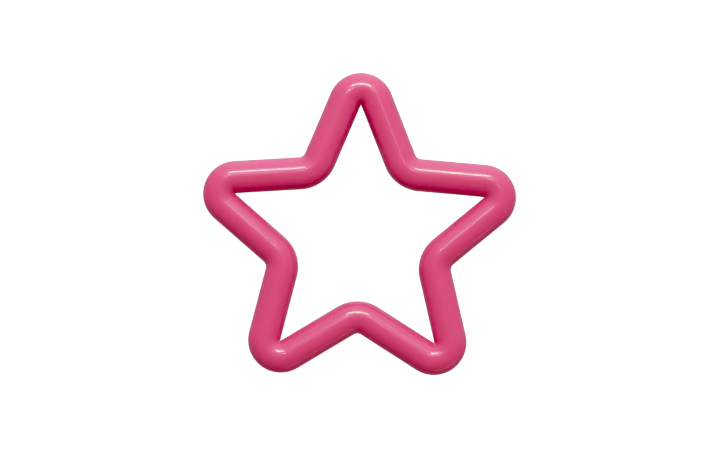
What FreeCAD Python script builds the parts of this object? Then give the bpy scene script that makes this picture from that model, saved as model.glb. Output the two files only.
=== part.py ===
import FreeCAD, Part
import math
import os
import Sketcher

# Star-shaped hand punch: a round plastic grip ring, bent into a five-pointed star, over a steel cutting band.
#
# Frame: millimetres, +Z up. The origin is on the star's five-fold axis, in the plane of the cutting edge that
# the punch stands on, and one tip points along +Y.
#
# Pieces: upper_shell and lower_shell are two mouldings that make the hollow ring. A lip on the lower one
# stands in a rebate of the upper one, and they are welded at the seam. cutting_band is one strip of stainless
# steel with a lap joint. Its tabs pass up through slots in the lower shell and are folded over on its floor.
#
# The star repeats ten times, so each body models one half of one tip: from the tip's crown on +Y, along one
# flank, to the middle of the next waist, which is the bend between two tips. That tenth is mirrored and then
# turned five times.

SHEET = "Dimensions"
TIPS = 5
HALF_TIP_DEG = 180.0 / TIPS
WAIST_AXIS_DEG = 90.0 - HALF_TIP_DEG
OVERCUT = 0.5  # how far a cutter reaches past the face that it cuts through
FULL_TURN_DEG = 360.0

DRIVING_DIMENSIONS = {
    # the star's centreline
    "tip_reach": 46.8,  # axis to the crown of a tip
    "waist_reach": 26.0,  # axis to the middle of a waist
    "tip_bend": 5.3,  # bend radius at a tip
    "waist_bend": 7.4,  # bend radius at a waist
    # the grip ring
    "ring_radius": 5.2,
    "overall_height": 30.0,
    "bore_radius": 3.4,  # round bore of the upper shell
    "channel_half_width": 2.9,  # square channel of the lower shell
    "floor_thickness": 2.1,
    "lip_half_width": 4.2,
    "lip_height": 0.9,
    "joint_gap": 0.05,
    "rib_thickness": 1.2,
    "rib_half_width": 3.3,
    "rib_height": 2.7,
    # the cutting band
    "band_thickness": 0.4,
    "groove_depth": 0.6,  # how far the band's shoulder stands in the lower shell's underside
    "edge_land": 0.2,
    "bevel_height": 0.8,
    "tab_width": 5.0,
    "tab_pitch": 11.0,  # between the two tabs of a flank
    "fold_length": 2.2,
    "lap_length": 9.0,
    "lap_clearance": 0.6,  # the lap stops short of the cutting edge and of the ring
    "weld_radius": 1.3,
    "weld_depth": 0.12,
    "weld_pitch": 5.5,
}


def dim(name):
    """The expression that reads one cell of the sheet."""
    return f"{SHEET}.{name}"


SEAM = f"({dim('overall_height')} - {dim('ring_radius')})"
FLOOR = f"({SEAM} - {dim('ring_radius')} + {dim('floor_thickness')})"
SHOULDER = f"({SEAM} - {dim('ring_radius')} + {dim('groove_depth')})"
UNDERSIDE = f"({SEAM} - {dim('ring_radius')})"
HALF_BAND = f"({dim('band_thickness')} / 2)"


def make_sheet(doc):
    sheet = doc.addObject("Spreadsheet::Sheet", SHEET)
    for row, (name, value) in enumerate(DRIVING_DIMENSIONS.items(), start=1):
        sheet.set(f"A{row}", name)
        sheet.set(f"B{row}", str(value))
        sheet.setAlias(f"B{row}", name)
    doc.recompute()
    return sheet


def origin_feature(body, role):
    return next(o for o in body.Origin.OriginFeatures if o.Role == role)


def value_of(body, expression):
    """The number that an expression gives now. It places geometry before the constraints take over."""
    result = body.Document.getObject(SHEET).evalExpression(expression)
    return float(getattr(result, "Value", result))


def bound(sketch, constraint, expression, name):
    """Adds a constraint whose value follows an expression."""
    index = sketch.addConstraint(constraint)
    sketch.renameConstraint(index, name)
    sketch.setExpression(f"Constraints.{name}", expression)


def measured(sketch, constraint, name):
    """Adds a reference constraint, which only reports a value for other expressions to read."""
    index = sketch.addConstraint(constraint)
    sketch.setDriving(index, False)
    sketch.renameConstraint(index, name)


def new_sketch(body, name, role):
    sketch = body.newObject("Sketcher::SketchObject", f"{body.Name}_{name}")
    sketch.AttachmentSupport = [(origin_feature(body, role), "")]
    sketch.MapMode = "FlatFace"
    return sketch


def place(sketch, expressions):
    """Binds the sketch's offset from its plane. expressions maps Base.x, Base.y, Base.z or Rotation.Angle."""
    for target, expression in expressions.items():
        sketch.setExpression(f"AttachmentOffset.{target}", expression)


def outline(sketch, corners, label="corner"):
    """A closed polygon. Each corner is a pair of expressions, measured from the sketch's origin."""
    start = sketch.GeometryCount
    points = [FreeCAD.Vector(*(value_of(sketch, e) for e in corner), 0) for corner in corners]
    count = len(points)
    for i in range(count):
        sketch.addGeometry(Part.LineSegment(points[i], points[(i + 1) % count]), False)
    for i in range(count):
        sketch.addConstraint(Sketcher.Constraint("Coincident", start + i, 2, start + (i + 1) % count, 1))
    for i, (across, along) in enumerate(corners):
        for kind, expression in (("DistanceX", across), ("DistanceY", along)):
            value = value_of(sketch, expression)
            constraint = Sketcher.Constraint(kind, -1, 1, start + i, 1, value)
            bound(sketch, constraint, expression, f"{label}{i}_{kind[-1].lower()}")


def rectangle(sketch, left, right, bottom, top, label="corner"):
    outline(sketch, [(left, bottom), (right, bottom), (right, top), (left, top)], label)


def circle(sketch, across, along, radius):
    centre = FreeCAD.Vector(value_of(sketch, across), value_of(sketch, along), 0)
    size = value_of(sketch, radius)
    geo = sketch.addGeometry(Part.Circle(centre, FreeCAD.Vector(0, 0, 1), size), False)
    bound(sketch, Sketcher.Constraint("DistanceX", -1, 1, geo, 3, centre.x), across, "centre_x")
    bound(sketch, Sketcher.Constraint("DistanceY", -1, 1, geo, 3, centre.y), along, "centre_y")
    bound(sketch, Sketcher.Constraint("Radius", geo, size), radius, "radius")


def direction_of(start, end):
    return math.atan2(end.y - start.y, end.x - start.x)


def star_path(body):
    """A tenth of the star's centreline: half a tip bend, the straight flank, and half a waist bend."""
    tip, flank, waist, waist_axis, middle = range(5)
    tip_bend = value_of(body, dim("tip_bend"))
    waist_bend = value_of(body, dim("waist_bend"))
    up = FreeCAD.Vector(0, 0, 1)
    tip_centre = FreeCAD.Vector(0, value_of(body, dim("tip_reach")) - tip_bend, 0)
    waist_distance = value_of(body, dim("waist_reach")) + waist_bend
    angle = math.radians(WAIST_AXIS_DEG)
    waist_centre = FreeCAD.Vector(math.cos(angle), math.sin(angle), 0) * waist_distance

    # The flank is the inner tangent of the two bends, which curve opposite ways.
    between = waist_centre - tip_centre
    lean = math.asin((tip_bend + waist_bend) / between.Length)
    along = math.atan2(between.y, between.x) - lean
    outward = FreeCAD.Vector(-math.sin(along), math.cos(along), 0)
    flank_start = tip_centre + outward * tip_bend
    flank_end = waist_centre - outward * waist_bend
    waist_start = direction_of(waist_centre, flank_end) % (2 * math.pi)
    waist_end = angle + math.pi

    path = new_sketch(body, "path", "XY_Plane")
    tip_circle = Part.Circle(tip_centre, up, tip_bend)
    waist_circle = Part.Circle(waist_centre, up, waist_bend)
    tip_start = direction_of(tip_centre, flank_start)
    path.addGeometry(Part.ArcOfCircle(tip_circle, tip_start, math.pi / 2), False)
    path.addGeometry(Part.LineSegment(flank_start, flank_end), False)
    path.addGeometry(Part.ArcOfCircle(waist_circle, waist_start, waist_end), False)
    path.addGeometry(Part.LineSegment(FreeCAD.Vector(), waist_centre), True)
    path.addGeometry(Part.Point((flank_start + flank_end) / 2), True)
    path.addConstraint(
        [
            Sketcher.Constraint("PointOnObject", tip, 3, -2),
            Sketcher.Constraint("PointOnObject", tip, 2, -2),
            Sketcher.Constraint("Tangent", tip, 1, flank, 1),
            Sketcher.Constraint("Tangent", flank, 2, waist, 1),
            Sketcher.Constraint("Coincident", waist_axis, 1, -1, 1),
            Sketcher.Constraint("Coincident", waist_axis, 2, waist, 3),
            Sketcher.Constraint("PointOnObject", waist, 2, waist_axis),
            Sketcher.Constraint("Angle", waist_axis, angle),
            Sketcher.Constraint("Symmetric", flank, 1, flank, 2, middle, 1),
        ]
    )
    reach = tip_centre.y + tip_bend
    waist_distance_expression = f"{dim('waist_reach')} + {dim('waist_bend')}"
    bound(path, Sketcher.Constraint("DistanceY", -1, 1, tip, 2, reach), dim("tip_reach"), "tip_reach")
    bound(path, Sketcher.Constraint("Radius", tip, tip_bend), dim("tip_bend"), "tip_bend")
    bound(path, Sketcher.Constraint("Radius", waist, waist_bend), dim("waist_bend"), "waist_bend")
    bound(
        path,
        Sketcher.Constraint("Distance", waist_axis, waist_distance),
        waist_distance_expression,
        "waist_distance",
    )
    measured(path, Sketcher.Constraint("DistanceX", -1, 1, middle, 1, 0), "flank_x")
    measured(path, Sketcher.Constraint("DistanceY", -1, 1, middle, 1, 0), "flank_y")
    measured(path, Sketcher.Constraint("Angle", flank, 0), "flank_angle")
    body.Document.recompute()
    return path


def flank_sketch(body, name, path, height):
    """A level sketch at a height, with its origin at the middle of the flank and its X axis along it."""
    sketch = new_sketch(body, name, "XY_Plane")
    place(
        sketch,
        {
            "Base.x": f"{path.Name}.Constraints.flank_x",
            "Base.y": f"{path.Name}.Constraints.flank_y",
            "Base.z": height,
            "Rotation.Angle": f"{path.Name}.Constraints.flank_angle",
        },
    )
    return sketch


def pipe(body, kind, name, profile, path):
    feature = body.newObject(f"PartDesign::{kind}Pipe", f"{body.Name}_{name}")
    feature.Profile = (profile, [""])
    feature.Spine = (path, [""])
    feature.Mode = "Standard"
    body.Document.recompute()
    return feature


def box_pipe(body, kind, name, path, half_width, bottom, top):
    """Sweeps an upright rectangle along the path, centred on it across its width."""
    profile = new_sketch(body, f"{name}_profile", "YZ_Plane")
    centre = dim("tip_reach")
    rectangle(profile, f"{centre} - {half_width}", f"{centre} + {half_width}", bottom, top)
    return pipe(body, kind, name, profile, path)


def round_pipe(body, kind, name, path, radius):
    """Sweeps a circle along the path, at the height of the ring's centre."""
    profile = new_sketch(body, f"{name}_profile", "YZ_Plane")
    circle(profile, dim("tip_reach"), SEAM, radius)
    return pipe(body, kind, name, profile, path)


def prism(body, kind, name, sketch, length, reverse=False):
    """A Pad upwards or a Pocket downwards from a level sketch, or the other way with reverse."""
    feature = body.newObject(f"PartDesign::{kind}", f"{body.Name}_{name}")
    feature.Profile = (sketch, [""])
    feature.setExpression("Length", length)
    feature.Reversed = reverse
    body.Document.recompute()
    return feature


def cut_at_seam(body, upwards):
    """Takes away the ring above or below the seam plane."""
    sketch = new_sketch(body, "seam_plane", "XY_Plane")
    place(sketch, {"Base.z": SEAM})
    far = f"{dim('tip_reach')} + 2 * {dim('ring_radius')}"
    rectangle(sketch, f"-{dim('ring_radius')}", far, f"-{dim('ring_radius')}", far)
    prism(body, "Pocket", "seam_cut", sketch, f"{dim('ring_radius')} + {OVERCUT}", reverse=upwards)


def repeat_round_star(body):
    """Mirrors the tenth across the tip's plane, then turns the fifth round the axis."""
    mirrored = body.newObject("PartDesign::Mirrored", f"{body.Name}_mirrored")
    mirrored.TransformMode = "Whole shape"
    mirrored.MirrorPlane = (origin_feature(body, "YZ_Plane"), [""])
    body.Tip = mirrored
    body.Document.recompute()
    turned = body.newObject("PartDesign::PolarPattern", f"{body.Name}_turned")
    turned.TransformMode = "Whole shape"
    turned.Axis = (origin_feature(body, "Z_Axis"), [""])
    turned.Angle = FULL_TURN_DEG
    turned.Occurrences = TIPS
    body.Tip = turned
    body.Document.recompute()
    return turned


def tab_edges(side, widen="0"):
    """Where a tab starts and ends along the flank. side is -1 for the one nearer the tip, 1 for the other."""
    centre = f"{side} * {dim('tab_pitch')} / 2"
    half = f"({dim('tab_width')} / 2 + {widen})"
    return f"{centre} - {half}", f"{centre} + {half}"


def new_body(doc, name):
    body = doc.addObject("PartDesign::Body", name)
    body.Label = name
    return body


def make_upper_shell(doc):
    """The visible half of the ring, with a round bore, a rebate for the lip, and a rib across each flank."""
    body = new_body(doc, "upper_shell")
    path = star_path(body)
    round_pipe(body, "Additive", "ring", path, dim("ring_radius"))
    round_pipe(body, "Subtractive", "bore", path, dim("bore_radius"))
    cut_at_seam(body, upwards=False)
    gap = dim("joint_gap")
    rebate_width = f"({dim('lip_half_width')} + {gap})"
    rebate_top = f"{SEAM} + {dim('lip_height')} + {gap}"
    box_pipe(body, "Subtractive", "rebate", path, rebate_width, f"{SEAM} - {OVERCUT}", rebate_top)

    rib = flank_sketch(body, "rib_outline", path, rebate_top)
    half_rib = f"{dim('rib_thickness')} / 2"
    rib_reach = dim("rib_half_width")
    rectangle(rib, f"-{half_rib}", half_rib, f"-{rib_reach}", rib_reach)
    prism(body, "Pad", "rib", rib, dim("rib_height"))
    repeat_round_star(body)
    return body


def make_lower_shell(doc):
    """The lower half of the ring: a square channel, the lip, the band's groove, and slots for its tabs."""
    body = new_body(doc, "lower_shell")
    path = star_path(body)
    round_pipe(body, "Additive", "ring", path, dim("ring_radius"))
    cut_at_seam(body, upwards=True)
    lip_top = f"{SEAM} + {dim('lip_height')}"
    box_pipe(body, "Additive", "lip", path, dim("lip_half_width"), f"{SEAM} - {OVERCUT}", lip_top)
    channel_width = dim("channel_half_width")
    box_pipe(body, "Subtractive", "channel", path, channel_width, FLOOR, f"{lip_top} + {OVERCUT}")
    half_slot = f"({HALF_BAND} + {dim('joint_gap')})"
    box_pipe(body, "Subtractive", "groove", path, half_slot, f"{UNDERSIDE} - {OVERCUT}", SHOULDER)

    slots = flank_sketch(body, "slot_outline", path, f"{FLOOR} + {OVERCUT}")
    for number, side in enumerate((-1, 1)):
        start, end = tab_edges(side, widen=dim("joint_gap"))
        rectangle(slots, start, end, f"-{half_slot}", half_slot, label=f"slot{number}_")
    prism(body, "Pocket", "slots", slots, f"{dim('floor_thickness')} + 2 * {OVERCUT}")
    repeat_round_star(body)
    return body


def band_profile(body):
    """The band's cross-section: parallel sides, and a bevel on each down to a narrow flat land."""
    profile = new_sketch(body, "band_profile", "YZ_Plane")
    centre = dim("tip_reach")
    half_land = f"{dim('edge_land')} / 2"
    bevel = dim("bevel_height")
    corners = [
        (f"{centre} - {half_land}", "0"),
        (f"{centre} + {half_land}", "0"),
        (f"{centre} + {HALF_BAND}", bevel),
        (f"{centre} + {HALF_BAND}", SHOULDER),
        (f"{centre} - {HALF_BAND}", SHOULDER),
        (f"{centre} - {HALF_BAND}", bevel),
    ]
    outline(profile, corners)
    return profile


def add_tabs(body, path):
    """Two tabs on the flank. One is folded towards the inside of the star and the other outwards."""
    risers = flank_sketch(body, "tab_outline", path, f"{SHOULDER} - {OVERCUT}")
    folds = flank_sketch(body, "fold_outline", path, FLOOR)
    for number, side in enumerate((-1, 1)):
        start, end = tab_edges(side)
        rectangle(risers, start, end, f"-{HALF_BAND}", HALF_BAND, label=f"tab{number}_")
        fold_end = f"({HALF_BAND} + {dim('fold_length')})"
        low, high = (f"-{fold_end}", HALF_BAND) if side < 0 else (f"-{HALF_BAND}", fold_end)
        rectangle(folds, start, end, low, high, label=f"fold{number}_")
    prism(body, "Pad", "tabs", risers, f"{FLOOR} - {SHOULDER} + {OVERCUT} + {dim('band_thickness')}")
    prism(body, "Pad", "folds", folds, dim("band_thickness"))


def add_lap_joint(body, path):
    """The strip's end laid over its start on the outside of one flank, held by a row of spot welds."""
    bottom = dim("lap_clearance")
    lap = flank_sketch(body, "lap_outline", path, bottom)
    half_lap = f"{dim('lap_length')} / 2"
    outer_face = f"1.5 * {dim('band_thickness')}"
    rectangle(lap, f"-{half_lap}", half_lap, "0", outer_face)
    prism(body, "Pad", "lap", lap, f"{UNDERSIDE} - 2 * {bottom}")

    for number in (-1, 0, 1):
        height = f"{UNDERSIDE} / 2 + {number} * {dim('weld_pitch')}"
        dimple = flank_sketch(body, f"weld{number + 1}_outline", path, height)
        bottom_of_dimple = f"{outer_face} - {dim('weld_depth')}"
        rectangle(dimple, "0", dim("weld_radius"), bottom_of_dimple, f"{outer_face} + {OVERCUT}")
        groove = body.newObject("PartDesign::Groove", f"{body.Name}_weld{number + 1}")
        groove.Profile = (dimple, [""])
        groove.ReferenceAxis = (dimple, ["V_Axis"])
        groove.Angle = FULL_TURN_DEG
        body.Document.recompute()


def make_cutting_band(doc):
    """The steel strip with its bevelled edge, folded tabs and welded lap joint."""
    body = new_body(doc, "cutting_band")
    path = star_path(body)
    pipe(body, "Additive", "strip", band_profile(body), path)
    add_tabs(body, path)
    repeat_round_star(body)
    add_lap_joint(body, path)
    return body


def check(doc, bodies):
    """Stops if an object failed, or if a sub-part isn't one valid solid."""
    failed = [o.Name for o in doc.Objects if {"Invalid", "Error"} & set(o.State)]
    if failed:
        raise RuntimeError(f"failed objects: {failed}")
    for body in bodies:
        shape = body.Shape
        if shape.isNull() or not shape.isValid() or len(shape.Solids) != 1:
            raise RuntimeError(f"{body.Label} isn't one valid solid")
        print(f"{body.Label}: volume {shape.Volume:.1f} mm3, {len(shape.Faces)} faces")


def main():
    doc = FreeCAD.newDocument("star_hand_punch")
    make_sheet(doc)
    bodies = [make_upper_shell(doc), make_lower_shell(doc), make_cutting_band(doc)]
    doc.recompute()
    check(doc, bodies)
    os.makedirs("parts", exist_ok=True)
    for body in bodies:
        body.Shape.exportStep(f"parts/{body.Label}.step")


main()
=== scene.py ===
import math

import bpy
import numpy as np
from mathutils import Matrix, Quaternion, Vector


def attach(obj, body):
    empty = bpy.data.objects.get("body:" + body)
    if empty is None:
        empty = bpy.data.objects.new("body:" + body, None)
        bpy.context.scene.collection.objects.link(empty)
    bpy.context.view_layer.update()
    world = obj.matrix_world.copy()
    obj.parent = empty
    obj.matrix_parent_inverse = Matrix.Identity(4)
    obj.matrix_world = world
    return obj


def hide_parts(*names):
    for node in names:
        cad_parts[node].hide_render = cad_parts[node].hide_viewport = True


# The looks of the star punch: a glossy pink grip ring in two shells, over a steel cutting band.
# The pieces' lengths are in millimetres up to new_piece(), which turns them into metres. The materials,
# the set, the lamps and the camera are in metres.

MM = 0.001
TIPS = 5

# What is left free all round between two pieces that fit together.
CLEARANCE = 0.05

# The star's centreline, as in the CAD model.
TIP_REACH = 46.8
WAIST_REACH = 26.0
TIP_BEND = 5.3
WAIST_BEND = 7.4

# The ring's section. A rib's faces turn within RIB_FACE, and RIB_VAULT is the fraction of the bore's rise
# that a rib leaves open.
RING_RADIUS = 5.2
SEAM_Z = 24.8
UNDERSIDE_Z = SEAM_Z - RING_RADIUS
SEAM_CHAMFER = 0.16
SEAM_CHAMFER_WIDTH = 0.13
BORE_RADIUS = 3.4
LIP_HALF_WIDTH = 4.2
LIP_HEIGHT = 0.9
REBATE_HALF_WIDTH = LIP_HALF_WIDTH + CLEARANCE
REBATE_HEIGHT = LIP_HEIGHT + CLEARANCE
CHANNEL_HALF_WIDTH = 2.9
FLOOR_Z = 21.7
RIB_HALF_THICKNESS = 0.6
RIB_FACE = 0.02
RIB_VAULT = 0.001

# The cutting band, with two tabs in each flank.
BAND_HALF = 0.2
LAND_HALF = 0.1
BEVEL_Z = 0.8
SHOULDER_Z = 20.2
TAB_HALF_WIDTH = 2.5
TAB_OFFSET = 5.5
FOLD_START = 0.05
FOLD_END = 2.4

# The outside of a tab's bend, as points from the strip's middle and the fold's top.
BEND_OUTSIDE = ((-0.14, -0.14), (-0.02, -0.04), (0.14, 0.0))

# The groove and the slots in the lower shell that take the band and its tabs.
GROOVE_HALF_WIDTH = BAND_HALF + CLEARANCE
GROOVE_CHAMFER = 0.08
GROOVE_CHAMFER_ANGLE = 0.012
SLOT_HALF_WIDTH = TAB_HALF_WIDTH + CLEARANCE

# The lap joint, which stops short of the ring by LAP_CLEARANCE. Its upper, lower and leading edges each
# fall away within LEDGE, and its other end runs out over JOGGLE_LENGTH.
LAP_HALF_LENGTH = 4.5
LAP_STEP = 2 * BAND_HALF
LAP_LOW_Z = BEVEL_Z
LAP_CLEARANCE = 0.6
LAP_HIGH_Z = UNDERSIDE_Z - LAP_CLEARANCE
LEDGE = 0.015
JOGGLE_LENGTH = 1.2

# The spot welds, each a dimple with a faint ring pressed round it. The ring's radius and width, and how
# far it reaches, are counted in weld radii. The heat tint fades out round HEAT_RADIUS.
WELD_RADIUS = 1.3
WELD_DEPTH = 0.12
WELD_PITCH = 5.5
WELD_HEIGHTS = [UNDERSIDE_Z / 2 + number * WELD_PITCH for number in (-1, 0, 1)]
WELD_RING_DEPTH = 0.02
WELD_RING_RADIUS = 1.12
WELD_RING_WIDTH = 0.12
WELD_RING_REACH = 1.35
HEAT_RADIUS = 1.9

# How the moulding departs from a true tube.
SINK_DEPTH = 0.012
SINK_HALF_LENGTH = 1.8
WAVE_DEPTH = 0.002
SLOW_WAVES = 23
QUICK_WAVES = 41

# How finely each mesh is divided. The gaps keep the even stations clear of the exact ones.
TIP_STEPS = 18
FLANK_STEPS = 44
WAIST_STEPS = 14
UPPER_STEPS = 60
LOWER_STEPS = 40
BORE_STEPS = 24
LAP_STEPS = 60
LAP_ROWS = 62
STATION_GAP = 0.12
LAP_STATION_GAP = 0.05
LAP_MARGIN = 0.1
TOLERANCE = 0.001
SMOOTH_BELOW = math.radians(32)

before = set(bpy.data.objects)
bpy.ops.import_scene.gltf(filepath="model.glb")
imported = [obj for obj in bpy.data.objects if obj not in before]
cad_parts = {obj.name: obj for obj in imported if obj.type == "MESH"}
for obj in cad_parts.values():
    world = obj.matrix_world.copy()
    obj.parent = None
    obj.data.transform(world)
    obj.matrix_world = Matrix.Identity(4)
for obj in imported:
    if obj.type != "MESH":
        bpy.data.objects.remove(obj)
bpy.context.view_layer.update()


# ---------------------------------------------------------------- the star's centreline

def unit(angle):
    """The direction at an angle in radians from +X."""
    return np.array([math.cos(angle), math.sin(angle)])


WAIST_AXIS = math.radians(90 - 180 / TIPS)
TIP_CENTRE = np.array([0.0, TIP_REACH - TIP_BEND])
WAIST_CENTRE = (WAIST_REACH + WAIST_BEND) * unit(WAIST_AXIS)
BETWEEN = WAIST_CENTRE - TIP_CENTRE
CROSSING = math.asin((TIP_BEND + WAIST_BEND) / math.hypot(*BETWEEN))
ALONG = unit(math.atan2(BETWEEN[1], BETWEEN[0]) - CROSSING)
OUTWARD = np.array([-ALONG[1], ALONG[0]])
FLANK_START = TIP_CENTRE + TIP_BEND * OUTWARD
FLANK_END = WAIST_CENTRE - WAIST_BEND * OUTWARD
TIP_ARC = TIP_BEND * (math.pi / 2 - math.atan2(OUTWARD[1], OUTWARD[0]))
FLANK = math.hypot(*(FLANK_END - FLANK_START))
WAIST_START = math.atan2(-OUTWARD[1], -OUTWARD[0]) % (2 * math.pi)
WAIST_ARC = WAIST_BEND * (WAIST_AXIS + math.pi - WAIST_START)
TENTH = TIP_ARC + FLANK + WAIST_ARC
MID_FLANK = TIP_ARC + FLANK / 2
LOOP = 2 * TIPS * TENTH


def tenth_frame(s):
    """The point and the outward direction at s from the +Y tip's crown, on its right."""
    if s < TIP_ARC:
        out = unit(math.pi / 2 - s / TIP_BEND)
        return TIP_CENTRE + TIP_BEND * out, out
    if s < TIP_ARC + FLANK:
        return FLANK_START + (s - TIP_ARC) * ALONG, OUTWARD
    back = unit(WAIST_START + (s - TIP_ARC - FLANK) / WAIST_BEND)
    return WAIST_CENTRE + WAIST_BEND * back, -back


def tenth_of(distance):
    """Which tip a distance round the loop belongs to, its side, and how far it is from the tip's crown.
    The side is 1 clockwise of the tip and -1 on the other side."""
    tenth = int(distance // TENTH) % (2 * TIPS)
    rest = distance % TENTH
    if tenth % 2 == 0:
        return tenth // 2, 1, rest
    return (tenth + 1) // 2 % TIPS, -1, TENTH - rest


def loop_frame(distance):
    """The centreline's point and outward direction at a distance round the loop, clockwise from +Y."""
    tip, side, s = tenth_of(distance)
    point, out = tenth_frame(s)
    turn = -2 * math.pi * tip / TIPS
    cosine = math.cos(turn)
    sine = math.sin(turn)
    spin = np.array([[cosine, -sine], [sine, cosine]])
    flip = np.array([side, 1.0])
    return spin @ (point * flip), spin @ (out * flip)


def loop_distance(tip, side, s):
    """The distance round the loop of a place at s from a tip's crown, on one side of it."""
    return (2 * tip * TENTH + side * s) % LOOP


def flank_offset(distance):
    """How far a place is from the middle of its flank along the centreline, positive towards the waist."""
    return tenth_of(distance)[2] - MID_FLANK


def stations(extra):
    """Distances round the loop: an even division of every bend and flank, and the extra ones of each flank.
    extra lists offsets from the flank's middle, positive towards the waist."""
    even = list(np.linspace(0, TIP_ARC, TIP_STEPS, endpoint=False))
    even += list(np.linspace(TIP_ARC, TIP_ARC + FLANK, FLANK_STEPS, endpoint=False))
    even += list(np.linspace(TIP_ARC + FLANK, TENTH, WAIST_STEPS, endpoint=False))
    exact = [MID_FLANK + offset for offset in extra]
    clear = [s for s in even if all(abs(s - e) > STATION_GAP for e in exact)]
    found = []
    for tip in range(TIPS):
        for s in clear + exact:
            found.append(loop_distance(tip, 1, s))
            if s > 0:
                found.append(loop_distance(tip, -1, s))
        found.append((2 * tip + 1) * TENTH)
    return sorted(found)


def tab_edges(half_width):
    """Where the two tabs of a flank, or their slots, begin and end, as offsets from the flank's middle."""
    return [side * TAB_OFFSET + end * half_width for side in (-1, 1) for end in (-1, 1)]


def tab_spans(distances, half_width):
    """The spans between stations that lie in a tab or a slot, each with its side of the flank's middle:
    1 towards the waist, -1 towards the tip."""
    spans = {}
    for i in range(len(distances) - 1):
        offset = flank_offset((distances[i] + distances[i + 1]) / 2)
        if abs(abs(offset) - TAB_OFFSET) < half_width:
            spans[i] = 1 if offset > 0 else -1
    return spans


# ---------------------------------------------------------------- mesh building

def new_piece(name, vertices, faces, material):
    """Makes an object from millimetre vertices. Edges that turn more than SMOOTH_BELOW stay sharp."""
    mesh = bpy.data.meshes.new(name)
    mesh.from_pydata((np.array(vertices) * MM).tolist(), [], faces)
    mesh.validate()
    mesh.shade_smooth()
    mesh.set_sharp_from_angle(angle=SMOOTH_BELOW)
    mesh.materials.append(material)
    piece = bpy.data.objects.new(name, mesh)
    bpy.context.scene.collection.objects.link(piece)
    return piece


def place_profile(distance, profile):
    """Stands a profile of (u, z) points across the centreline: u is outward from it."""
    point, out = loop_frame(distance)
    u = profile[:, :1]
    return np.hstack([point + u * out, profile[:, 1:2]])


def loft(distances, profile_at, skip):
    """Joins one closed profile per station into a closed loop, without the faces that skip(span, column)
    picks out. Returns vertices, faces and the profile's length."""
    rings = [place_profile(d, profile_at(d)) for d in distances]
    count = len(rings[0])
    total = len(rings)
    faces = []
    for i in range(total):
        here = i * count
        after = (i + 1) % total * count
        for j in range(count):
            k = (j + 1) % count
            if not skip(i, j):
                faces.append((here + j, here + k, after + k, after + j))
    return np.vstack(rings), faces, count


def mirrored(points):
    """The same points on the other side of the centreline, in reverse order."""
    return [(-u, z) for u, z in reversed(points)]


# ---------------------------------------------------------------- the ring

def unevenness(distance, angle):
    """How far the moulding lies below a true tube. Never less than zero, so it stays within the CAD.
    It sinks a little over each rib, and two waves run round the loop."""
    over_rib = math.exp(-((flank_offset(distance) / SINK_HALF_LENGTH) ** 2))
    top = max(0.0, math.sin(angle)) ** 2
    turn = 2 * math.pi * distance / LOOP
    # The phases drift round the section, so that neither wave shows as rings.
    slow = math.sin(SLOW_WAVES * turn + 1.7 * math.sin(3 * angle))
    quick = math.sin(QUICK_WAVES * turn + 2.0 * angle + 0.8)
    return SINK_DEPTH * over_rib * top + WAVE_DEPTH * (2 + slow + quick)


def ring_arc(distance, start, end, steps):
    """Points on the ring's skin between two angles, measured from outward round over the top."""
    points = []
    for angle in np.linspace(start, end, steps + 1):
        r = RING_RADIUS - unevenness(distance, angle)
        points.append((r * math.cos(angle), SEAM_Z + r * math.sin(angle)))
    return points


SEAM_START = math.asin(SEAM_CHAMFER / RING_RADIUS)


def upper_profile(distance):
    """The upper shell's section: its skin, the rebate on either side and the bore, which a rib closes."""
    skin = ring_arc(distance, SEAM_START, math.pi - SEAM_START, UPPER_STEPS)
    rebate = [
        (-RING_RADIUS + SEAM_CHAMFER_WIDTH, SEAM_Z),
        (-REBATE_HALF_WIDTH, SEAM_Z),
        (-REBATE_HALF_WIDTH, SEAM_Z + REBATE_HEIGHT),
    ]
    ribbed = abs(flank_offset(distance)) <= RIB_HALF_THICKNESS + TOLERANCE
    vault = RIB_VAULT if ribbed else 1.0
    first = math.asin(REBATE_HEIGHT / BORE_RADIUS)
    bore = []
    for angle in np.linspace(math.pi - first, first, BORE_STEPS + 1):
        rise = BORE_RADIUS * math.sin(angle) - REBATE_HEIGHT
        bore.append((BORE_RADIUS * math.cos(angle), SEAM_Z + REBATE_HEIGHT + vault * rise))
    return np.array(skin + rebate + bore + mirrored(rebate))


def lower_profile(distance):
    """The lower shell's section: its skin, the groove for the band, the lip and the channel inside."""
    groove_z = SEAM_Z - math.sqrt(RING_RADIUS**2 - GROOVE_HALF_WIDTH**2)
    groove_angle = math.asin(GROOVE_HALF_WIDTH / RING_RADIUS) + GROOVE_CHAMFER_ANGLE
    half = ring_arc(distance, math.pi + SEAM_START, 1.5 * math.pi - groove_angle, LOWER_STEPS)
    mouth = [(-GROOVE_HALF_WIDTH, groove_z + GROOVE_CHAMFER), (-GROOVE_HALF_WIDTH, SHOULDER_Z)]
    inner = [
        (RING_RADIUS - SEAM_CHAMFER_WIDTH, SEAM_Z),
        (LIP_HALF_WIDTH, SEAM_Z),
        (LIP_HALF_WIDTH, SEAM_Z + LIP_HEIGHT),
        (CHANNEL_HALF_WIDTH, SEAM_Z + LIP_HEIGHT),
        (CHANNEL_HALF_WIDTH, FLOOR_Z),
        (GROOVE_HALF_WIDTH, FLOOR_Z),
    ]
    return np.array(half + mouth + mirrored(mouth) + mirrored(half) + inner + mirrored(inner))


def make_upper(material):
    """The upper shell, with extra stations where each rib's faces turn."""
    edge = RIB_HALF_THICKNESS
    outside = edge + RIB_FACE
    distances = stations([-outside, -edge, edge, outside])
    vertices, faces, _ = loft(distances, upper_profile, lambda i, j: False)
    return new_piece("grip_upper", vertices, faces, material)


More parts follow.
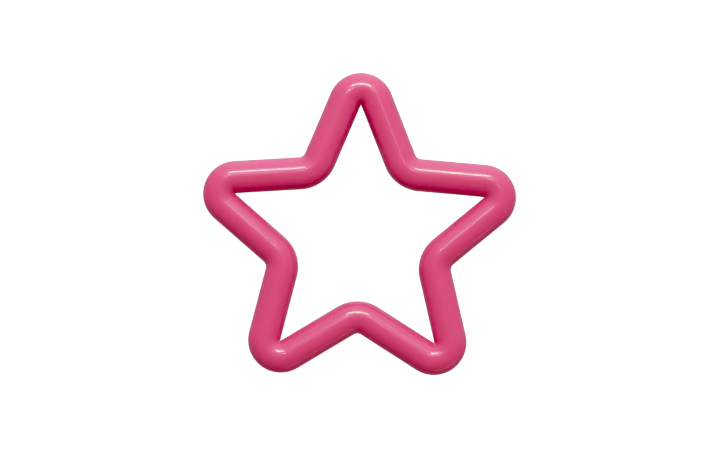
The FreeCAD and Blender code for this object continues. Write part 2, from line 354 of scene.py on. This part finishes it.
def make_lower(material):
    """The lower shell, with a slot through its floor for each of the band's tabs."""
    distances = stations(tab_edges(SLOT_HALF_WIDTH))
    spans = tab_spans(distances, SLOT_HALF_WIDTH)
    columns = lower_profile(0.0).tolist()
    low_left = columns.index([-GROOVE_HALF_WIDTH, SHOULDER_Z])
    low_right = low_left + 1
    high_right = columns.index([GROOVE_HALF_WIDTH, FLOOR_Z])
    high_left = high_right + 1

    cut = (low_left, high_right)
    vertices, faces, count = loft(distances, lower_profile, lambda i, j: i in spans and j in cut)
    for i in spans:
        a, b = i * count, (i + 1) * count
        faces.append((a + high_left, b + high_left, b + low_left, a + low_left))
        faces.append((b + high_right, a + high_right, a + low_right, b + low_right))
        if i - 1 not in spans:
            faces.append((a + high_right, a + high_left, a + low_left, a + low_right))
        if i + 1 not in spans:
            faces.append((b + high_left, b + high_right, b + low_right, b + low_left))
    return new_piece("grip_lower", vertices, faces, material)


# ---------------------------------------------------------------- the cutting band

def lap_relief(distance, z):
    """How far the band's outer face stands out where the strip laps over itself, less the weld dimples."""
    tip, side, _ = tenth_of(distance)
    x = flank_offset(distance)
    if tip != 0 or side != 1 or abs(x) > LAP_HALF_LENGTH + TOLERANCE:
        return 0.0
    joggle = min(1.0, (LAP_HALF_LENGTH - x) / JOGGLE_LENGTH)
    relief = LAP_STEP * joggle * joggle * (3 - 2 * joggle)
    for weld_z in WELD_HEIGHTS:
        r = math.hypot(x, z - weld_z) / WELD_RADIUS
        if r < WELD_RING_REACH:
            relief -= WELD_DEPTH * (1 - min(1.0, r) ** 4)
            relief -= WELD_RING_DEPTH * math.exp(-(((r - WELD_RING_RADIUS) / WELD_RING_WIDTH) ** 2))
    return relief


def band_profile(distance):
    """The strip's section: the land at the cutting edge, the bevel, and the outer face with its lap."""
    outer = [(BAND_HALF, LAP_LOW_Z)]
    for z in np.linspace(LAP_LOW_Z + LEDGE, LAP_HIGH_Z - LEDGE, LAP_ROWS):
        outer.append((BAND_HALF + lap_relief(distance, z), z))
    outer += [(BAND_HALF, LAP_HIGH_Z), (BAND_HALF, SHOULDER_Z)]
    inner = [(-BAND_HALF, SHOULDER_Z), (-BAND_HALF, BEVEL_Z)]
    return np.array([(-LAND_HALF, 0.0), (LAND_HALF, 0.0)] + outer + inner)


def tab_points(direction):
    """A tab's section above the shoulder: up through the slot, round a bend and along the floor."""
    top = FLOOR_Z + 2 * BAND_HALF
    bend = [(-BAND_HALF, FLOOR_Z + FOLD_START)] + [(u, top + z) for u, z in BEND_OUTSIDE]
    flat = [(FOLD_END, top), (FOLD_END, FLOOR_Z), (BAND_HALF, FLOOR_Z)]
    return np.array([(direction * u, z) for u, z in bend + flat])


def band_stations():
    """The band's distances round the loop, closer together over the lap joint."""
    edges = tab_edges(TAB_HALF_WIDTH)
    lap_start = loop_distance(0, 1, MID_FLANK - LAP_HALF_LENGTH)
    lap_end = loop_distance(0, 1, MID_FLANK + LAP_HALF_LENGTH)
    outside = [d for d in stations(edges) if not lap_start - LAP_MARGIN < d < lap_end + LAP_MARGIN]
    keep = [loop_distance(0, 1, MID_FLANK + e) for e in edges if abs(e) < LAP_HALF_LENGTH]
    even = np.linspace(lap_start, lap_end, LAP_STEPS + 1)
    fine = [d for d in even if all(abs(d - k) > LAP_STATION_GAP for k in keep)]
    return sorted(outside + fine + keep + [lap_start - LEDGE])


def write_grain(mesh, distances, vertices, count):
    """Stores where each vertex lies along the strip, for the steel's grain, and how near it is to a weld.
    The vertices after the profiles' own belong to the tabs' folds, which no view shows."""
    strip = []
    heat = []
    for index, vertex in enumerate(vertices):
        distance = distances[index // count] if index < count * len(distances) else 0.0
        height = float(vertex[2])
        strip += [distance * MM, height * MM, 0.0]
        tip, side, _ = tenth_of(distance)
        near = min(math.hypot(flank_offset(distance), height - z) for z in WELD_HEIGHTS)
        heat.append(math.exp(-((near / HEAT_RADIUS) ** 4)) if tip == 0 and side == 1 else 0.0)
    mesh.attributes.new("strip", "FLOAT_VECTOR", "POINT")
    mesh.attributes.new("heat", "FLOAT", "POINT")
    mesh.attributes["strip"].data.foreach_set("vector", strip)
    mesh.attributes["heat"].data.foreach_set("value", heat)


def make_band(material):
    """The strip. Of a flank's two tabs, the one nearer the waist folds outwards and the other inwards."""
    distances = band_stations()
    spans = tab_spans(distances, TAB_HALF_WIDTH)
    right = band_profile(0.0).tolist().index([BAND_HALF, SHOULDER_Z])
    left = right + 1
    vertices, faces, count = loft(distances, band_profile, lambda i, j: i in spans and j == right)
    vertices = list(vertices)
    rows = {}

    def tab_row(i, direction):
        """The indices of a tab's section at a station, from one shoulder edge round to the other."""
        if i not in rows:
            first = len(vertices)
            vertices.extend(place_profile(distances[i], tab_points(direction)))
            added = list(range(first, len(vertices)))
            a, b = i * count + left, i * count + right
            rows[i] = [a] + added + [b] if direction > 0 else [b] + added + [a]
        return rows[i]

    for i, direction in spans.items():
        here = tab_row(i, direction)
        after = tab_row(i + 1, direction)
        added = [(here[j], here[j + 1], after[j + 1], after[j]) for j in range(len(here) - 1)]
        if i - 1 not in spans:
            added.append(tuple(here[::-1]))
        if i + 1 not in spans:
            added.append(tuple(after))
        faces += [face if direction < 0 else face[::-1] for face in added]
    piece = new_piece("star_blade", vertices, faces, material)
    write_grain(piece.data, distances, vertices, count)
    return piece


# ---------------------------------------------------------------- materials

# The range that most of a noise's values lie in.
NOISE_LOW = 0.3
NOISE_HIGH = 0.7

# Where the Mix node keeps its colour sockets.
MIX_FIRST = 6
MIX_SECOND = 7
MIX_RESULT = 2


class Nodes:
    """A short way to add and link shader nodes. A noise's scale is in features per metre, unless its
    vector is already stretched."""

    def __init__(self, name):
        self.material = bpy.data.materials.new(name)
        self.material.use_nodes = True
        self.tree = self.material.node_tree
        self.tree.nodes.clear()
        self.output = self.add("ShaderNodeOutputMaterial")
        self.shader = self.add("ShaderNodeBsdfPrincipled")
        self.link(self.shader.outputs["BSDF"], self.output.inputs["Surface"])
        self.object_space = self.add("ShaderNodeTexCoord").outputs["Object"]

    def add(self, kind, **settings):
        node = self.tree.nodes.new(kind)
        for key, value in settings.items():
            setattr(node, key, value)
        return node

    def link(self, output, socket):
        self.tree.links.new(output, socket)

    def set_values(self, values):
        """Sets the shader's own sockets to the values that are the same all over the surface."""
        for socket, value in values.items():
            self.shader.inputs[socket].default_value = value

    def noise(self, scale, detail=2.0, roughness=0.5, vector=None, distortion=0.0):
        node = self.add("ShaderNodeTexNoise")
        node.inputs["Scale"].default_value = scale
        node.inputs["Detail"].default_value = detail
        node.inputs["Roughness"].default_value = roughness
        node.inputs["Distortion"].default_value = distortion
        self.link(vector or self.object_space, node.inputs["Vector"])
        return node.outputs["Fac"]

    def remap(self, value, low, high, to_low, to_high):
        node = self.add("ShaderNodeMapRange")
        node.inputs["From Min"].default_value = low
        node.inputs["From Max"].default_value = high
        node.inputs["To Min"].default_value = to_low
        node.inputs["To Max"].default_value = to_high
        self.link(value, node.inputs["Value"])
        return node.outputs["Result"]

    def spread(self, noise, to_low, to_high):
        """Spreads a noise's usual range over another one."""
        return self.remap(noise, NOISE_LOW, NOISE_HIGH, to_low, to_high)

    def mix(self, factor, first, second):
        node = self.add("ShaderNodeMix", data_type="RGBA")
        self.link(factor, node.inputs["Factor"])
        for value, place in ((first, MIX_FIRST), (second, MIX_SECOND)):
            if isinstance(value, tuple):
                node.inputs[place].default_value = (*value, 1.0)
            else:
                self.link(value, node.inputs[place])
        return node.outputs[MIX_RESULT]

    def combine(self, operation, first, second):
        node = self.add("ShaderNodeMath", operation=operation)
        for value, socket in zip((first, second), node.inputs):
            if isinstance(value, (int, float)):
                socket.default_value = value
            else:
                self.link(value, socket)
        return node.outputs["Value"]

    def stretch(self, vector, scale, turn=(0.0, 0.0, 0.0)):
        node = self.add("ShaderNodeMapping")
        node.inputs["Scale"].default_value = scale
        node.inputs["Rotation"].default_value = turn
        self.link(vector, node.inputs["Vector"])
        return node.outputs["Vector"]

    def bump(self, height, distance, normal=None):
        node = self.add("ShaderNodeBump")
        node.inputs["Strength"].default_value = 1.0
        node.inputs["Distance"].default_value = distance
        self.link(height, node.inputs["Height"])
        if normal is not None:
            self.link(normal, node.inputs["Normal"])
        return node.outputs["Normal"]


def pink_plastic():
    """Glossy, slightly translucent moulded plastic, with a faint orange peel and fine handling scratches."""
    deep_pink = (0.68, 0.101, 0.223)
    light_pink = (0.70, 0.105, 0.231)
    scratch_scale = (260.0, 6000.0, 6000.0)
    scratch_turn = (0.3, 0.5, 0.6)
    scratch_starts = 0.72
    scratch_full = 0.79
    scratch_roughness = 0.05
    scratch_depth = 0.0000005
    peel_depth = 0.0000009

    n = Nodes("pink_gloss_plastic")
    pigment = n.noise(90.0, detail=3.0, distortion=0.6)
    colour = n.mix(n.spread(pigment, 0.0, 1.0), deep_pink, light_pink)
    n.link(colour, n.shader.inputs["Base Color"])

    # Scratches are thin streaks, left only where the stretched noise is at its highest.
    streaks = n.stretch(n.object_space, scratch_scale, scratch_turn)
    scored = n.noise(1.0, detail=5.0, roughness=0.7, vector=streaks)
    scratches = n.remap(scored, scratch_starts, scratch_full, 0.0, 1.0)
    haze = n.noise(260.0, detail=4.0, roughness=0.6)
    smooth = n.spread(haze, 0.32, 0.36)
    rough = n.combine("ADD", smooth, n.combine("MULTIPLY", scratches, scratch_roughness))
    n.link(rough, n.shader.inputs["Roughness"])

    peel = n.bump(n.noise(520.0, detail=1.0), peel_depth)
    marked = n.bump(n.combine("MULTIPLY", scratches, -1.0), scratch_depth, peel)
    n.link(marked, n.shader.inputs["Normal"])
    n.link(marked, n.shader.inputs["Coat Normal"])

    n.set_values({
        "IOR": 1.5,
        "Specular IOR Level": 0.38,
        "Coat Weight": 0.6,
        "Coat Roughness": 0.135,
        "Coat IOR": 1.5,
        "Subsurface Weight": 0.3,
        "Subsurface Radius": (1.0, 0.08, 0.2),
        "Subsurface Scale": 0.0015,
    })
    return n.material


def strip_steel():
    """Cold-rolled stainless strip: fine grain along it, and straw and blue heat tint round the welds."""
    dull_steel = (0.50, 0.505, 0.515)
    bright_steel = (0.66, 0.665, 0.67)
    straw = (0.55, 0.40, 0.22)
    blue = (0.34, 0.36, 0.46)
    grain_scale = (60.0, 9000.0, 1.0)
    grain_depth = 0.000004

    n = Nodes("rolled_stainless_strip")
    along = n.add("ShaderNodeAttribute", attribute_name="strip").outputs["Vector"]
    heat = n.add("ShaderNodeAttribute", attribute_name="heat").outputs["Fac"]
    grain = n.noise(1.0, detail=4.0, roughness=0.65, vector=n.stretch(along, grain_scale))
    base = n.mix(n.spread(grain, 0.0, 1.0), dull_steel, bright_steel)
    # The straw tint begins further from a weld than the blue one.
    warmed = n.mix(n.remap(heat, 0.10, 0.45, 0.0, 0.75), base, straw)
    tinted = n.mix(n.remap(heat, 0.55, 0.95, 0.0, 0.8), warmed, blue)
    n.link(tinted, n.shader.inputs["Base Color"])

    cloud = n.noise(70.0, detail=3.0)
    fine = n.spread(grain, 0.24, 0.36)
    broad = n.remap(cloud, 0.35, 0.65, -0.03, 0.04)
    n.link(n.combine("ADD", fine, broad), n.shader.inputs["Roughness"])
    n.link(n.bump(grain, grain_depth), n.shader.inputs["Normal"])
    n.set_values({"Metallic": 1.0})
    return n.material


def pale_sheet():
    """A white sheet that glows, so that no shadow shows on it. It can be seen through from behind."""
    n = Nodes("pale_sheet")
    tone = n.noise(3.0, detail=1.0)
    n.link(n.mix(tone, (0.20, 0.20, 0.20), (0.22, 0.22, 0.22)), n.shader.inputs["Base Color"])
    n.set_values({
        "Roughness": 0.8,
        "Specular IOR Level": 0.1,
        "Emission Color": (1.0, 1.0, 1.0, 1.0),
        "Emission Strength": 1.7,
    })
    behind = n.add("ShaderNodeNewGeometry").outputs["Backfacing"]
    clear = n.add("ShaderNodeBsdfTransparent")
    both = n.add("ShaderNodeMixShader")
    n.link(behind, both.inputs["Fac"])
    n.link(n.shader.outputs["BSDF"], both.inputs[1])
    n.link(clear.outputs["BSDF"], both.inputs[2])
    n.link(both.outputs["Shader"], n.output.inputs["Surface"])
    return n.material


# ---------------------------------------------------------------- the pieces

pink = pink_plastic()
steel = strip_steel()

for maker, material, node, slot in (
    (make_upper, pink, "upper_shell", "grip_plastic"),
    (make_lower, pink, "lower_shell", "grip_plastic"),
    (make_band, steel, "cutting_band", "band_steel"),
):
    piece = maker(material)
    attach(piece, "root")
    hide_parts(node)


# ---------------------------------------------------------------- floor, light and camera

CENTRE = Vector((0.0, 0.0, SEAM_Z * MM))

# The floor lies this far below the cutting edge, so that the two faces don't meet.
FLOOR_DROP = 0.00002
ROOM_SIZE = 6.0

# The sky from its dimmest side to its brightest. A warmth over 1 is orange, and one under 1 is blue:
# a warm room on the -Y side, and cool daylight on the +Y side.
BRIGHT_SIDE = (0.12, 0.98, 0.12)
SKY_STRENGTH = 1.95
SKY_LEVELS = (0.158, 0.206, 0.235, 0.31, 0.68)
SKY_WARMTHS = (1.28, 1.20, 1.02, 0.92, 0.90)

# In Blender an area lamp's power is its surface's brightness times its area, times this.
POWER_FACTOR = 4

# Each lamp's name, position, width, height, brightness, colour, and roll about its own axis in radians.
LAMPS = (
    ("white_key", (-0.12, 0.60, 0.80), 0.28, 0.11, 22.5, (0.93, 0.96, 0.97), 0.0),
    ("cream_key", (0.130, 0.60, 0.80), 0.235, 0.12, 26.0, (0.96, 0.91, 0.66), 0.0),
    ("left_lamp", (-0.144, 0.261, 0.80), 0.10, 0.085, 6.0, (0.97, 0.94, 1.0), 0.64),
    ("left_strip", (-0.152, 0.287, 0.80), 0.012, 0.20, 17.0, (0.97, 0.94, 1.0), 0.74),
    ("right_lamp", (0.174, 0.288, 0.80), 0.08, 0.12, 6.0, (1.0, 0.95, 0.95), -0.66),
    ("far_right", (0.46, 0.64, 0.80), 0.20, 0.14, 2.0, (1.0, 0.95, 0.93), 0.0),
    ("thin_strip", (0.255, 0.172, 0.85), 0.016, 0.07, 20.0, (1.0, 0.95, 0.90), 0.0),
    ("low_strip", (0.42, -0.72, 0.03), 0.80, 0.03, 3.0, (1.0, 0.95, 0.95), 0.0),
)

# The camera's height is over the seam, and VIEW_WIDTH is how much it sees there.
CAMERA_HEIGHT = 0.90
CAMERA_ASIDE = (-0.00062, 0.00027)
CAMERA_TURN = 0.0157
VIEW_WIDTH = 0.2277
SENSOR_WIDTH = 36.0

# A print-like contrast: the deepest tones go to black, and the brightest pink rolls off below pure white.
BLACK_LEVEL = 0.06
WHITE_LEVEL = 1.60
TONE_CURVE = (
    (0.1, 0.164),
    (0.2, 0.328),
    (0.3, 0.49),
    (0.43, 0.665),
    (0.53, 0.76),
    (0.61, 0.82),
    (0.805, 0.93),
)


def add_sheet(name, vertices, faces, material):
    """A piece of the set that only the camera sees: it lights nothing and throws no shadow."""
    mesh = bpy.data.meshes.new(name)
    mesh.from_pydata(vertices, [], faces)
    mesh.materials.append(material)
    sheet = bpy.data.objects.new(name, mesh)
    bpy.context.scene.collection.objects.link(sheet)
    sheet.visible_diffuse = False
    sheet.visible_glossy = False
    sheet.visible_shadow = False


def add_set():
    """A square floor, and a box that reaches as far below it as above, whose sides face inwards."""
    material = pale_sheet()
    far = ROOM_SIZE
    corners = [(-far, -far), (far, -far), (far, far), (-far, far)]
    floor = [(x, y, -FLOOR_DROP) for x, y in corners]
    add_sheet("floor", floor, [(0, 1, 2, 3)], material)
    bottom = [(x, y, -far) for x, y in corners]
    top = [(x, y, far) for x, y in corners]
    sides = [(0, 4, 5, 1), (1, 5, 6, 2), (2, 6, 7, 3), (3, 7, 4, 0), (4, 7, 6, 5), (0, 1, 2, 3)]
    add_sheet("backdrop", bottom + top, sides, material)


def add_lamp(name, position, width, height, brightness, colour, roll):
    """A rectangular lamp that faces the star's centre. Its power follows from its surface's brightness."""
    data = bpy.data.lights.new(name, "AREA")
    data.shape = "RECTANGLE"
    data.size = width
    data.size_y = height
    data.energy = brightness * POWER_FACTOR * width * height
    data.color = colour
    lamp = bpy.data.objects.new(name, data)
    lamp.location = position
    away = lamp.location - CENTRE
    lamp.rotation_mode = "QUATERNION"
    lamp.rotation_quaternion = away.to_track_quat("Z", "Y")
    lamp.rotation_quaternion.rotate(Quaternion(away, roll))
    lamp.visible_camera = False
    bpy.context.scene.collection.objects.link(lamp)


def add_sky():
    """A soft dome all round, brightest from the +Y side and dimmest from the -Y side."""
    world = bpy.data.worlds.new("soft_dome")
    bpy.context.scene.world = world
    world.use_nodes = True
    tree = world.node_tree
    tree.nodes.clear()
    where = tree.nodes.new("ShaderNodeTexCoord")
    dot = tree.nodes.new("ShaderNodeVectorMath")
    dot.operation = "DOT_PRODUCT"
    dot.inputs[1].default_value = BRIGHT_SIDE
    shift = tree.nodes.new("ShaderNodeMapRange")
    shift.inputs["From Min"].default_value = -1.0
    shift.inputs["From Max"].default_value = 1.0
    ramp = tree.nodes.new("ShaderNodeValToRGB")
    stops = ramp.color_ramp.elements
    stops[0].position = 0.0
    stops[1].position = 1.0
    last = len(SKY_LEVELS) - 1
    for number in range(1, last):
        stops.new(number / last)
    for stop, level, warmth in zip(stops, SKY_LEVELS, SKY_WARMTHS):
        red = level * warmth
        green = level * (1.25 - 0.25 * warmth)
        blue = level * (1.5 - 0.5 * warmth)
        stop.color = (red, green, blue, 1.0)
    glow = tree.nodes.new("ShaderNodeBackground")
    glow.inputs["Strength"].default_value = SKY_STRENGTH
    out = tree.nodes.new("ShaderNodeOutputWorld")
    tree.links.new(where.outputs["Generated"], dot.inputs[0])
    tree.links.new(dot.outputs["Value"], shift.inputs["Value"])
    tree.links.new(shift.outputs["Result"], ramp.inputs["Fac"])
    tree.links.new(ramp.outputs["Color"], glow.inputs["Color"])
    tree.links.new(glow.outputs["Background"], out.inputs["Surface"])


def add_camera():
    """Straight above the star, far enough for a long lens, and turned a little so the star leans right."""
    data = bpy.data.cameras.new("camera")
    data.sensor_width = SENSOR_WIDTH
    data.lens = SENSOR_WIDTH * CAMERA_HEIGHT / VIEW_WIDTH
    data.dof.use_dof = False
    camera = bpy.data.objects.new("camera", data)
    camera.location = (*CAMERA_ASIDE, CAMERA_HEIGHT + SEAM_Z * MM)
    camera.rotation_euler = (0.0, 0.0, CAMERA_TURN)
    bpy.context.scene.collection.objects.link(camera)
    bpy.context.scene.camera = camera


def set_tones():
    """The picture's black and white levels, and the curve between them."""
    view = bpy.context.scene.view_settings
    view.view_transform = "Standard"
    view.look = "None"
    view.use_curve_mapping = True
    tone = view.curve_mapping
    tone.black_level = (BLACK_LEVEL, BLACK_LEVEL, BLACK_LEVEL)
    tone.white_level = (WHITE_LEVEL, WHITE_LEVEL, WHITE_LEVEL)
    # The fourth curve acts on red, green and blue alike.
    combined = tone.curves[3]
    for place, level in TONE_CURVE:
        combined.points.new(place, level)
    tone.update()


add_set()
add_sky()
for lamp in LAMPS:
    add_lamp(*lamp)
add_camera()
set_tones()
